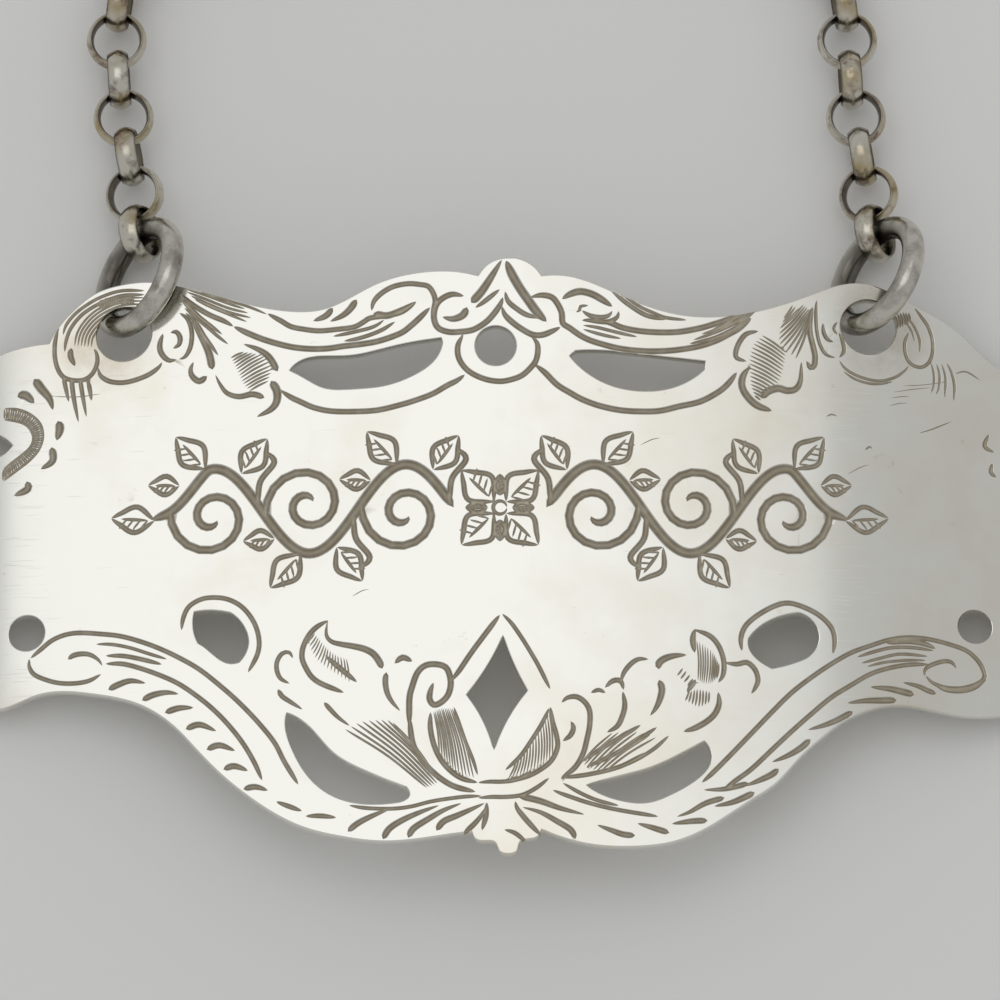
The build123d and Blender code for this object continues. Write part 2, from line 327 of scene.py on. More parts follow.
foot_left_cuts = [
    (0.27, [(30, 648), (40, 640), (52, 631), (66, 626), (80, 625), (100, 627), (120, 630), (140, 636),
            (160, 644), (180, 654), (200, 666), (220, 682), (240, 700), (260, 721), (276, 741), (286, 760),
            (300, 783)]),
    (0.26, [(29, 648), (29, 656), (34, 664), (46, 670), (60, 674), (76, 675), (90, 673), (102, 667)]),
    (0.20, [(96, 637), (112, 638), (130, 642), (150, 649), (168, 655)]),
    (0.26, [(106, 649), (124, 650), (142, 654), (163, 660)]),
    (0.27, [(106, 657), (124, 658), (144, 664), (164, 672), (180, 680), (196, 691), (212, 704), (228, 720),
            (244, 740), (256, 760), (264, 778)]),
    (0.27, [(182, 627), (184, 614), (190, 603), (204, 596), (222, 596), (236, 601), (247, 610), (256, 624),
            (260, 640), (258, 654), (249, 671)]),
    (0.28, [(278, 799), (288, 803), (304, 809)]),
    (0.28, [(307, 814), (322, 814), (338, 816)]),
    (0.22, [(350, 804), (367, 807), (392, 808), (412, 806), (433, 801), (462, 797), (482, 796)]),
]
middle_leaf_left_cuts = [
    (0.26, [(294, 658), (290, 652), (283, 653), (278, 661), (278, 670), (282, 678), (291, 683)]),
    (0.30, [(329, 621), (318, 627), (310, 635), (304, 647), (303, 658), (307, 668), (313, 677), (323, 684),
            (345, 693)]),
    (0.30, [(326, 656), (340, 668), (358, 683)]),
    (0.34, [(395, 665), (403, 659), (413, 663)]),
    (0.34, [(410, 727), (410, 700), (413, 687), (418, 674), (426, 667), (437, 666), (446, 669), (450, 677),
            (451, 687), (448, 697), (441, 704), (434, 706), (430, 700), (431, 692), (434, 684)]),
    (0.32, [(410, 718), (413, 742), (420, 757), (430, 769), (443, 780), (456, 787), (476, 792)]),
    (0.30, [(500, 617), (487, 634), (472, 654), (459, 673), (451, 683)]),
    (0.30, [(431, 713), (431, 730), (435, 747), (442, 761), (452, 772), (463, 779), (478, 783)]),
    (0.20, [(454, 708), (459, 723), (466, 743), (473, 760), (478, 776)]),
]
middle_leaf_right_cuts = [
    (0.24, [(502, 616), (511, 625), (521, 639), (531, 655), (539, 669), (550, 691)]),
    (0.30, [(561, 704), (567, 699), (576, 698), (584, 703), (589, 712), (589, 726), (586, 741), (582, 755),
            (574, 768), (560, 779)]),
    (0.30, [(570, 722), (573, 728), (570, 736), (562, 742)]),
    (0.28, [(550, 708), (552, 722), (556, 736), (557, 748), (551, 761), (540, 770), (526, 777), (502, 783)]),
    (0.24, [(549, 709), (542, 724), (532, 740), (520, 757), (505, 771)]),
    (0.24, [(590, 694), (598, 691), (605, 694)]),
    (0.30, [(604, 689), (612, 682), (620, 682), (623, 691)]),
    (0.28, [(620, 684), (623, 674), (630, 665), (638, 660), (648, 660)]),
    (0.30, [(622, 692), (624, 706), (621, 718), (616, 727), (606, 733)]),
    (0.34, [(694, 629), (692, 640), (694, 653)]),
    (0.30, [(694, 630), (706, 634), (714, 640), (720, 650), (723, 662), (722, 674), (717, 682)]),
    (0.34, [(717, 691), (718, 702), (714, 712), (706, 720), (694, 727), (682, 731)]),
    (0.28, [(686, 692), (690, 686), (695, 679)]),
    (0.26, [(584, 760), (602, 748), (622, 736), (640, 725)]),
    (0.26, [(586, 767), (610, 756), (634, 742), (656, 727)]),
    (0.22, [(600, 773), (630, 762), (652, 749), (668, 735)]),
    (0.26, [(562, 778), (590, 774), (620, 766), (646, 752)]),
    (0.30, [(724, 662), (736, 663), (746, 661), (754, 668), (757, 678), (754, 686), (750, 692)]),
]
foot_right_cuts = [
    (0.28, [(700, 781), (710, 772), (726, 756), (750, 731), (770, 710), (790, 690), (810, 674), (830, 660),
            (850, 648), (870, 640), (890, 633), (910, 630), (930, 631), (950, 635), (968, 641), (980, 652),
            (985, 664), (982, 670), (974, 677), (960, 681), (944, 680), (933, 674)]),
    (0.28, [(720, 789), (734, 778), (750, 766), (770, 747), (790, 728), (810, 710), (830, 693), (850, 680),
            (870, 668), (890, 661), (910, 657), (928, 656)]),
    (0.28, [(924, 668), (925, 661), (932, 656), (944, 652), (952, 653), (957, 659)]),
    (0.24, [(925, 667), (932, 674), (945, 678), (960, 678), (974, 674), (984, 667)]),
    (0.22, [(856, 652), (876, 645), (892, 641), (912, 640), (934, 642)]),
    (0.20, [(860, 658), (880, 652), (900, 647), (928, 648)]),
    (0.18, [(866, 661), (884, 656), (906, 653), (926, 652)]),
    (0.36, [(886, 637), (905, 634), (922, 635), (936, 640)]),
    (0.30, [(741, 650), (740, 638), (744, 626), (754, 616), (770, 606), (784, 601), (796, 602), (812, 608),
            (824, 616), (832, 626), (834, 638), (832, 650)]),
    (0.24, [(552, 790), (565, 795), (590, 803), (617, 809), (657, 815)]),
    (0.22, [(562, 783), (580, 793), (597, 800), (618, 805)]),
]
finial_cuts = [
    (0.24, [(478, 783), (490, 782), (502, 782), (516, 780), (531, 772)]),
    (0.24, [(478, 798), (492, 797), (506, 797), (522, 795), (536, 788), (549, 778)]),
    (0.30, [(487, 802), (486, 816), (482, 830)]),
    (0.30, [(515, 801), (517, 808), (523, 816), (532, 826), (541, 835)]),
    (0.26, [(504, 829), (514, 832), (522, 838), (527, 844)]),
]

# Scratches and nicks of use, the deeper ones that show singly.
wear_marks = [
    (0.10, [(827, 413), (833, 410), (839, 412)]),
    (0.12, [(866, 445), (871, 441), (874, 443)]),
    (0.08, [(921, 425), (935, 420), (955, 411)]),
    (0.05, [(905, 378), (925, 376), (948, 372)]),
    (0.05, [(895, 385), (915, 381), (935, 378)]),
    (0.05, [(893, 391), (903, 389), (913, 388)]),
    (0.05, [(891, 399), (901, 396), (911, 395)]),
    (0.05, [(848, 470), (862, 462), (871, 459)]),
    (0.05, [(49, 386), (75, 388), (99, 386)]),
    (0.05, [(640, 447), (652, 441), (661, 439)]),
    (0.05, [(352, 598), (363, 592), (370, 591)]),
]

# Cuts that start broad, where the graver went in deep, and run out to a point.
broad_cuts = [
    (0.26, [(60, 366), (62, 376), (66, 393)]),
    (0.28, [(68, 369), (71, 390), (76, 414)]),
    (0.26, [(77, 370), (80, 388), (84, 409)]),
    (0.26, [(85, 372), (87, 381), (89, 393)]),
    (0.34, [(68, 338), (67, 346), (72, 357)]),
    (0.42, [(211, 367), (208, 352), (203, 340), (190, 317)]),
    (0.36, [(206, 373), (198, 378), (191, 373), (189, 366), (192, 358)]),
    (0.38, [(277, 371), (268, 356), (257, 348), (242, 342)]),
    (0.46, [(270, 380), (276, 390), (276, 401), (270, 409), (256, 416)]),
    (0.34, [(264, 397), (252, 393), (238, 395), (226, 391), (219, 382), (214, 372)]),
    (0.50, [(13, 384), (21, 383), (31, 392)]),
    (0.50, [(30, 367), (38, 378), (46, 388), (50, 400)]),
    (0.50, [(55, 411), (57, 419), (54, 431)]),
    (0.44, [(49, 437), (50, 451), (38, 459)]),
    (0.44, [(24, 470), (25, 478), (11, 484)]),
    (0.36, [(332, 308), (325, 316), (312, 321)]),
    (0.38, [(356, 300), (350, 309), (342, 316), (329, 322)]),
    (0.40, [(373, 314), (386, 317), (400, 312), (416, 303)]),
    (0.42, [(467, 309), (463, 317), (453, 321), (442, 319)]),
    (0.46, [(471, 305), (481, 294), (491, 279), (502, 261)]),
    (0.44, [(763, 397), (768, 390), (779, 386), (788, 388), (797, 386), (802, 377), (803, 358)]),
    (0.30, [(68, 651), (74, 647), (84, 646), (92, 648), (99, 653), (103, 659)]),
    (0.36, [(109, 683), (120, 678), (132, 675), (147, 678)]),
    (0.36, [(143, 695), (154, 690), (168, 688), (180, 690)]),
    (0.36, [(166, 708), (180, 704), (195, 704)]),
    (0.36, [(187, 725), (201, 721), (218, 728)]),
    (0.36, [(208, 746), (221, 742), (237, 748)]),
    (0.36, [(225, 766), (236, 763), (250, 768)]),
    (0.34, [(245, 786), (257, 784), (270, 788)]),
    (0.34, [(349, 830), (359, 822), (373, 815), (391, 808)]),
    (0.36, [(384, 838), (390, 828), (402, 820), (420, 812), (440, 805)]),
    (0.36, [(409, 837), (414, 828), (428, 819), (444, 810), (462, 803)]),
    (0.36, [(437, 830), (444, 821), (458, 815), (474, 808), (485, 803)]),
    (0.30, [(465, 832), (473, 825), (481, 816), (487, 806)]),
    (0.28, [(279, 688), (283, 695), (290, 700), (304, 709)]),
    (0.38, [(383, 670), (380, 663), (374, 655), (365, 650), (353, 647), (342, 645), (332, 642), (327, 635),
            (328, 622)]),
    (0.32, [(387, 673), (386, 683), (388, 694), (393, 703), (401, 712)]),
    (0.26, [(325, 702), (332, 710), (340, 718), (351, 726)]),
    (0.40, [(658, 670), (658, 664), (664, 659), (674, 656), (686, 655)]),
    (0.38, [(658, 680), (661, 689), (659, 699), (655, 708), (649, 716)]),
    (0.32, [(936, 685), (927, 682), (917, 678), (902, 675)]),
    (0.42, [(914, 687), (900, 684), (888, 682), (869, 681)]),
    (0.40, [(896, 693), (880, 694), (864, 695), (846, 698)]),
    (0.36, [(852, 706), (836, 715), (822, 721), (806, 726)]),
    (0.36, [(809, 735), (799, 744), (786, 752), (770, 759)]),
    (0.36, [(777, 765), (770, 771), (758, 777), (744, 783)]),
    (0.36, [(753, 789), (741, 795), (729, 800), (712, 804)]),
    (0.32, [(747, 780), (734, 784), (720, 787), (702, 788)]),
    (0.32, [(723, 795), (704, 801), (688, 810), (675, 815)]),
    (0.34, [(706, 818), (690, 819), (670, 822)]),
    (0.34, [(668, 831), (651, 826), (636, 822)]),
    (0.34, [(634, 834), (622, 833), (610, 829), (596, 824)]),
    (0.34, [(575, 838), (570, 829), (557, 821), (540, 812), (522, 807)]),
    (0.36, [(519, 796), (540, 801), (560, 808), (584, 814)]),
]

# Rows of fine hatching, each from its first path to its last, with the width and number of its cuts.
hatched = [
    (0.13, [(229, 356), (233, 364), (237, 373), (241, 382), (248, 390)],
     [(243, 350), (256, 352), (267, 357), (272, 366), (268, 380)], 13),
    (0.13, [(97, 301), (106, 298), (118, 297), (130, 297)],
     [(97, 291), (106, 289), (118, 288), (130, 288)], 15),
    (0.13, [(763, 333), (754, 342), (750, 355), (750, 368), (751, 383), (755, 394)],
     [(788, 350), (786, 364), (781, 380), (772, 390), (762, 399)], 17),
    (0.14, [(806, 300), (811, 304), (812, 314)], [(781, 326), (781, 343), (797, 356)], 8),
    (0.13, [(795, 301), (801, 304)], [(785, 316), (783, 323)], 3),
    (0.09, [(316, 633), (324, 643), (334, 653), (347, 659)],
     [(308, 643), (317, 660), (332, 672), (350, 683)], 15),
    (0.10, [(434, 712), (441, 709), (452, 709)], [(440, 756), (458, 774), (474, 779)], 12),
    (0.13, [(346, 729), (360, 722), (378, 720), (392, 722), (405, 738)],
     [(428, 788), (432, 787), (436, 785), (439, 781), (430, 766)], 12),
    (0.10, [(549, 713), (541, 727), (529, 744), (517, 760)],
     [(552, 757), (540, 767), (525, 775), (508, 780)], 14),
    (0.10, [(696, 640), (703, 644), (712, 651), (718, 662)],
     [(697, 681), (703, 684), (710, 683), (716, 678)], 11),
    (0.12, [(682, 668), (688, 673), (695, 682)], [(676, 676), (682, 682), (690, 688)], 5),
    (0.12, [(688, 691), (697, 688), (708, 690)], [(684, 701), (697, 707), (707, 703)], 8),
    (0.12, [(580, 764), (590, 770), (602, 773)], [(612, 733), (634, 731), (655, 737)], 8),
    (0.16, [(898, 306), (905, 303), (912, 303)], [(901, 321), (907, 318), (913, 314)], 6),
    (0.12, [(0, 395), (14, 397), (27, 403), (37, 413), (40, 426), (36, 439), (26, 450), (12, 460), (0, 469)],
     [(0, 407), (12, 409), (22, 413), (28, 420), (30, 428), (27, 436), (19, 443), (9, 450), (0, 456)], 46),
]

# The middle field carries a running scroll of the engraver's stock kind: a waving stem, a volute in each wave
# and small pointed leaves, the same on both sides of a four-leaved flower.
scroll_wave = 9.6
scroll_height = 2.25
scroll_reach = 17.6
scroll_line = 2.35
volute_radius = 2.2
volute_turns = 1.45
flower_radius = 2.3


def stem_height(x):
    """Height of the waving stem at a distance x from the flower."""
    fade = np.clip((scroll_reach - x) / 3, 0.25, 1)
    return scroll_height * fade * np.sin(2 * np.pi * (x - flower_radius) / scroll_wave)


def volute(middle, radius, start, turns, hand):
    """Spiral that winds in from its radius round a middle point, hand 1 for anticlockwise."""
    t = np.linspace(0, 1, 26)
    angle = start + hand * 2 * np.pi * turns * t
    r = radius * (1 - 0.86 * t ** 0.8)
    return np.stack([middle[0] + r * np.cos(angle), middle[1] + r * np.sin(angle)], 1)


def leaf(foot, heading, length, fat=0.30):
    """Two edges and the vein of a small pointed leaf."""
    u = np.array([math.cos(heading), math.sin(heading)])
    v = np.array([-u[1], u[0]])
    foot = np.array(foot)
    tip = foot + length * u
    edges = []
    for side in (-1, 1):
        belly = foot + 0.42 * length * u + side * fat * length * v
        waist = foot + 0.78 * length * u + side * 0.45 * fat * length * v
        edges.append((0.30, through([foot, belly, waist, tip], cut_step)))
    edges.append((0.20, through([foot + 0.15 * length * u, foot + 0.78 * length * u], cut_step)))
    for i in range(1, 5):
        start = foot + 0.16 * i * length * u
        edges.append((0.13, through([start, start + 0.16 * length * u - 0.78 * fat * length * v], cut_step)))
    return edges


def scroll_cuts():
    """The running scroll to the right of the flower, round the middle of the field."""
    strokes = []
    x = np.arange(flower_radius, scroll_reach, cut_step)
    strokes.append((0.56, np.stack([x, stem_height(x)], 1)))
    for i in range(3):
        crest = flower_radius + scroll_wave * (0.25 + 0.5 * i)
        up = 1 if i % 2 == 0 else -1
        middle = (crest + 0.1, up * -0.25)
        strokes.append((0.46, volute(middle, volute_radius, up * 0.08 * math.pi, volute_turns, -up)))
        strokes += leaf((crest - 1.35, up * 1.95), up * 2.2, 2.2)
        strokes += leaf((crest + 0.45, up * 2.25), up * 0.85, 2.3)
        strokes += leaf((crest + 1.75, up * 1.45), up * 0.05, 1.6)
        tendril = [(crest - 2.2, up * 0.25), (crest - 2.3, up * 1.5), (crest - 3.0, up * 2.5),
                   (crest - 2.5, up * 3.1)]
        strokes.append((0.34, through(tendril, cut_step)))
    strokes += leaf((scroll_reach - 0.3, stem_height(np.array([scroll_reach]))[0]), 0.1, 2.2)
    return strokes


def flower_cuts():
    """Four petals with a ringed eye between the two scrolls."""
    strokes = []
    for i in range(4):
        heading = math.pi / 4 + math.pi / 2 * i
        strokes += leaf((0.42 * math.cos(heading), 0.42 * math.sin(heading)), heading, flower_radius, 0.36)
        strokes += leaf((0.6 * math.cos(heading + math.pi / 4), 0.6 * math.sin(heading + math.pi / 4)),
                        heading + math.pi / 4, 1.15, 0.22)
    eye = np.linspace(0, 2 * np.pi, 20)
    strokes.append((0.22, 0.34 * np.stack([np.cos(eye), np.sin(eye)], 1)))
    return strokes


even_cuts = (left_corner_cuts + left_corner_rays + crest_left_cuts + crest_hole_cuts + crest_right_cuts
             + right_leaf_cuts + right_corner_cuts + foot_left_cuts + middle_leaf_left_cuts
             + middle_leaf_right_cuts + foot_right_cuts + finial_cuts + wear_marks)
lines = [(width, through(from_photo(points), cut_step)) for width, points in even_cuts]
lines += [(0.13, path) for path in parallels(left_corner_rim, 6, 0.17)]
for width, first, last, count in hatched:
    lines += [(width, path) for path in hatching(first, last, count)]
ornament_middle = np.array([0.0, scroll_line + label_middle])
lines += [(width, path + ornament_middle) for width, path in flower_cuts() + scroll_cuts()]
lines += [(width, path * np.array([-1, 1]) + ornament_middle) for width, path in scroll_cuts()]


def path_length(path):
    """Length of a path in millimetres."""
    return np.linalg.norm(np.diff(path, axis=0), axis=1).sum()


cuts = []
for width, path in lines:
    run = min(0.5, run_length / path_length(path))
    cuts.append((width, path, run, run))
for width, points in broad_cuts:
    path = through(from_photo(points), cut_step)
    run = broad_run / path_length(path)
    cuts.append((width, path, run, 1 - run))


def swell(along_cut, run_in, run_out):
    """Share of its full width that a cut has along it, rising over run_in and falling over run_out."""
    rise = np.clip(along_cut / run_in, 0, 1)
    fall = np.clip((1 - along_cut) / run_out, 0, 1)
    return np.minimum(rise * (2 - rise), fall * (2 - fall)) ** swell_power


def stroke_share(path):
    """How far along a path each of its points lies, from 0 to 1."""
    run = np.concatenate([[0], np.cumsum(np.linalg.norm(np.diff(path, axis=0), axis=1))])
    return run / run[-1]


def cut_lines(width, path, run_in, run_out):
    """The bottom and the two lips of a cut, as three lines."""
    half = width / 2 * swell(stroke_share(path), run_in, run_out)[:, None]
    return [path, path + half * leftward(path), path - half * leftward(path)]


def front_depth(points):
    """How deep each point lies below the polished face, and how far down its own cut it is."""
    depth = np.zeros(len(points))
    shade = np.zeros(len(points))
    for width, path, run_in, run_out in cuts:
        low = path.min(0) - width
        high = path.max(0) + width
        near = np.flatnonzero(((points > low) & (points < high)).all(1))
        if len(near) == 0:
            continue
        gap, share = along(points[near], path)
        half = width / 2 * swell(share, run_in, run_out)
        into = np.clip(half - gap, 0, None)
        depth[near] = np.maximum(depth[near], cut_slope * into)
        shade[near] = np.maximum(shade[near], into / np.maximum(half, 0.01))
    return depth, shade


def stain(points):
    """How near each point is to a ring hole, where the dirt gathers: 1 in its middle, 0 beyond reach."""
    gaps = [np.linalg.norm(points - hole, axis=1) for hole in from_photo(stain_places)]
    return np.clip(1 - np.minimum(*gaps) / stain_reach, 0, 1)


def edge_drop(points):
    """How far the softened edge falls away at each point."""
    gap = np.full(len(points), np.inf)
    for loop in label_loops:
        closed = np.vstack([loop, loop[:1]])
        for start in range(0, len(points), block_size):
            block = slice(start, start + block_size)
            gap[block] = np.minimum(gap[block], along(points[block], closed)[0])
    reach = np.clip(edge_softness - gap, 0, edge_softness)
    return edge_softness - np.sqrt(edge_softness ** 2 - reach ** 2)


def triangulate(points, edges):
    """Triangles between all the points and edges, kept where they lie on the metal."""
    flat = [Vector(p) for p in points]
    found, _, faces, origins, _, _ = delaunay_2d_cdt(flat, edges, [], 0, 1e-5)
    places = np.array([tuple(p) for p in found])
    corners = np.array([face for face in faces if len(face) == 3])
    corners = corners[inside(places[corners].mean(1), label_loops)]
    return places, corners, origins


def field_grid(step):
    """Evenly spaced points over the metal."""
    x = np.arange(label_low.x / mm + step, label_high.x / mm, step)
    y = np.arange(label_low.y / mm + step, label_high.y / mm, step)
    grid = np.stack(np.meshgrid(x, y), -1).reshape(-1, 2)
    return grid[inside(grid, label_loops)]


def face_height(x, offset):
    """Height of the bent sheet's face at x, offset from the middle of the sheet."""
    return bend_axis + np.sqrt((bend_radius + offset) ** 2 - x ** 2)


def chain_edges(first, count, closed):
    """Edges that join a run of points in their order."""
    edges = [(first + i, first + i + 1) for i in range(count - 1)]
    if closed:
        edges.append((first + count - 1, first))
    return edges


def wound(places, corners, hand):
    """The same triangles, all wound one way, hand 1 for anticlockwise."""
    one = places[corners[:, 1]] - places[corners[:, 0]]
    two = places[corners[:, 2]] - places[corners[:, 0]]
    wrong = hand * (one[:, 0] * two[:, 1] - one[:, 1] * two[:, 0]) < 0
    corners[wrong] = corners[wrong][:, ::-1]
    return corners


def front_normals(front, corners, below):
    """Normals at the corners of the front triangles, from the bend of the sheet and the slope of the cuts."""
    a, b, c = (corners[:, i] for i in range(3))
    one = front[b] - front[a]
    two = front[c] - front[a]
    area = one[:, 0] * two[:, 1] - one[:, 1] * two[:, 0]
    rise_one = below[a] - below[b]
    rise_two = below[a] - below[c]
    steady = np.where(abs(area) > 1e-6, area, np.inf)
    slope_x = (rise_one * two[:, 1] - rise_two * one[:, 1]) / steady
    slope_y = (rise_two * one[:, 0] - rise_one * two[:, 0]) / steady
    normals = np.zeros((3 * len(corners), 3), np.float32)
    for k in range(3):
        x = front[corners[:, k], 0]
        bend = -x / np.sqrt((bend_radius + sheet_thickness / 2) ** 2 - x ** 2)
        normal = np.stack([-(slope_x + bend), -slope_y, np.ones(len(x))], 1)
        normals[k::3] = normal / np.linalg.norm(normal, axis=1)[:, None]
    return normals


def keep_for_points(mesh, name, values):
    """Keep a value for each point of the mesh, which its metal can read."""
    attribute = mesh.attributes.new(name, "FLOAT", "POINT")
    attribute.data.foreach_set("value", np.array(values, np.float32))


def label_mesh():
    """Engraved front, plain back and sawn walls of the label, as one closed mesh."""
    points, edges, runs = [], [], []
    for loop in label_loops:
        for distance in (0, 0.3 * edge_softness, edge_softness):
            runs.append((inset(loop, distance), True))
    for cut in cuts:
        for line in cut_lines(*cut):
            runs.append((line, False))
    for line, closed in runs:
        edges += chain_edges(len(points), len(line), closed)
        points += list(line)
    points += list(field_grid(field_step))
    front, corners, _ = triangulate(points, edges)
    used = np.unique(corners)
    renumber = np.full(len(front), -1)
    renumber[used] = np.arange(len(used))
    front = front[used]
    corners = wound(front, renumber[corners], 1)
    directed = {(a, b) for tri in corners.tolist() for a, b in zip(tri, tri[1:] + tri[:1])}
    rim = [(a, b) for a, b in directed if (b, a) not in directed]
    rim_points = sorted({i for edge in rim for i in edge})
    rim_place = {point: i for i, point in enumerate(rim_points)}
    back_points = list(front[rim_points]) + list(field_grid(back_step))
    back_edges = [(rim_place[a], rim_place[b]) for a, b in rim]
    back, back_corners, origins = triangulate(back_points, back_edges)
    back_of = {}
    for i, sources in enumerate(origins):
        for source in sources:
            back_of[source] = i
    back_corners = wound(back, back_corners, -1)
    depth, shade = front_depth(front)
    below = depth + edge_drop(front)
    top = np.column_stack([front, face_height(front[:, 0], sheet_thickness / 2) - below])
    bottom = np.column_stack([back, face_height(back[:, 0], -sheet_thickness / 2)])
    walls = []
    for a, b in rim:
        a_back = len(top) + back_of[rim_place[a]]
        b_back = len(top) + back_of[rim_place[b]]
        walls.append((b, a, a_back, b_back))
    faces = corners.tolist() + (back_corners + len(top)).tolist() + walls
    mesh = bpy.data.meshes.new("engraved_label")
    mesh.from_pydata((np.vstack([top, bottom]) * mm).tolist(), [], faces)
    unmarked = np.zeros(len(bottom))
    keep_for_points(mesh, "cut_shade", np.concatenate([shade, unmarked]))
    keep_for_points(mesh, "hole_dirt", np.concatenate([stain(front), unmarked]))
    mesh.polygons.foreach_set("use_smooth", [True] * len(faces))
    mesh.set_sharp_from_angle(angle=crease_angle)
    normals = np.zeros((len(mesh.loops), 3), np.float32)
    normals[:3 * len(corners)] = front_normals(front, corners, below)
    mesh.normals_split_custom_set(normals.tolist())
    return mesh


def linear(colour):
    """Linear colour from an sRGB hex value."""
    parts = [int(colour[i:i + 2], 16) / 255 for i in (0, 2, 4)]
    return [p / 12.92 if p <= 0.04045 else ((p + 0.055) / 1.055) ** 2.4 for p in parts] + [1]


def add(tree, kind, inputs, **settings):
    """A node with its settings, each input a value or another node's output."""
    node = tree.nodes.new(kind)
    for name, value in settings.items():
        setattr(node, name, value)
    for name, value in inputs.items():
        if isinstance(value, bpy.types.NodeSocket):
            tree.links.new(value, node.inputs[name])
        else:
            node.inputs[name].default_value = value
    return node


def noise(tree, place, size, detail, roughness=0.5):
    """Noise with a grain of a size in millimetres."""
    return add(tree, "ShaderNodeTexNoise", {"Vector": place, "Scale": 1 / (size * mm), "Detail": detail,
                                            "Roughness": roughness}).outputs["Fac"]


def spread(tree, value, low, high, to_low=0, to_high=1):
    """A value's range carried over to another range and cut off at its ends."""
    return add(tree, "ShaderNodeMapRange", {"Value": value, "From Min": low, "From Max": high,
                                            "To Min": to_low, "To Max": to_high}).outputs["Result"]


def blend(tree, share, first, second):
    """Mix of two colours by the share of the second."""
    return add(tree, "ShaderNodeMix", {"Factor": share, 6: first, 7: second}, data_type="RGBA").outputs[2]


def kept_value(tree, name):
    """The value kept for the points of the mesh under a name."""
    return add(tree, "ShaderNodeAttribute", {}, attribute_name=name).outputs["Fac"]


def metal(name):
    """A new metal, its node tree and its shader."""
    material = bpy.data.materials.new(name)
    material.use_nodes = True
    shader = material.node_tree.nodes["Principled BSDF"]
    shader.inputs["Metallic"].default_value = 1
    return material, material.node_tree, shader


# Sterling silver, polished and worn: nearly white, with fine wiping scratches about 0.05 mm wide drawn at
# 0.12 mm so that they show, a faint warm tarnish in patches, and grey-brown dirt left in the cuts, with a
# painted highlight that makes the cuts lighter towards their bottoms.
silver_colour = linear("EDECE5")
silver_warm = linear("DED3BC")
silver_brown = linear("A08C66")
cut_dirt = linear("958A77")
cut_bottom_painted_highlight = linear("B9B09C")
patch_size = 9.0
spot_size = 2.2
grime_size = 0.5
scratch_width = 0.12
scratch_length = 4.0
scratch_depth = 0.004
label_silver, tree, shader = metal("polished_sterling")
place = add(tree, "ShaderNodeTexCoord", {}).outputs["Object"]
patches = noise(tree, place, patch_size, 4, 0.6)
face = blend(tree, spread(tree, patches, 0.50, 0.76, 0, 0.6), silver_colour, silver_warm)
spots = noise(tree, place, spot_size, 5, 0.7)
spotted = blend(tree, spread(tree, spots, 0.66, 0.80, 0, 0.5), face, silver_brown)
stained = add(tree, "ShaderNodeMath", {0: kept_value(tree, "hole_dirt"), 1: spots}, operation="MULTIPLY")
stained_face = blend(tree, spread(tree, stained.outputs[0], 0.12, 0.40, 0, 0.45), spotted, silver_brown)
down = kept_value(tree, "cut_shade")
thick = spread(tree, noise(tree, place, grime_size, 3), 0.3, 0.6, 0.85, 1)
lying = add(tree, "ShaderNodeMath", {0: spread(tree, down, 0.02, 0.3), 1: thick}, operation="MULTIPLY")
dirt = lying.outputs[0]
# painted highlight: the bottom of each cut is coloured lighter than the dirt on its walls
cut_dirt_and_highlight = blend(tree, spread(tree, down, 0.45, 0.9), cut_dirt, cut_bottom_painted_highlight)
tree.links.new(blend(tree, dirt, stained_face, cut_dirt_and_highlight), shader.inputs["Base Color"])
rough = add(tree, "ShaderNodeMix", {"Factor": dirt, 2: spread(tree, patches, 0.3, 0.8, 0.09, 0.17), 3: 0.55})
tree.links.new(rough.outputs[0], shader.inputs["Roughness"])
scratched = {}
for turn in (0.35, 1.2, -0.7):
    wiped = add(tree, "ShaderNodeMapping", {"Vector": place, "Rotation": (0, 0, turn), "Scale": (
        1 / (scratch_length * mm), 1 / (scratch_width * mm), 1)})
    streaks = add(tree, "ShaderNodeTexNoise", {"Vector": wiped.outputs[0], "Scale": 1, "Detail": 2})
    bump = add(tree, "ShaderNodeBump", {"Height": spread(tree, streaks.outputs["Fac"], 0.66, 0.74),
                                        "Distance": scratch_depth * mm, "Strength": 0.4, **scratched},
               invert=True)
    scratched = {"Normal": bump.outputs[0]}
tree.links.new(bump.outputs[0], shader.inputs["Normal"])

label = bpy.data.objects.new("engraved_label", label_mesh())
bpy.context.scene.collection.objects.link(label)
label.data.materials.append(label_silver)
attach(label, "label")
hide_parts("label_plate")

# The jump rings: two rings of round drawn wire, closed and soldered, which hang the label on its chain. They
# were never polished like the face, so they have gone grey, with darker clouds and small dents. The inner
# side of the wire is painted darker as shade.
ring_wire = 1.14
ring_turns = 72
wire_turns = 28


def hoop_place(node):
    """Middle and turning axis of a CAD hoop, as a matrix that takes the XY plane to the hoop's plane."""
    co = np.array([v.co for v in node.data.vertices])
    middle = co.mean(0)
    spread = np.linalg.eigh(np.cov((co - middle).T))[1]
    axis = Vector(spread[:, 0])
    along_hoop = Vector(spread[:, 2])
    across = axis.cross(along_hoop)
    turn = Matrix((along_hoop, across, axis)).transposed()
    return Matrix.Translation(Vector(middle)) @ turn.to_4x4()


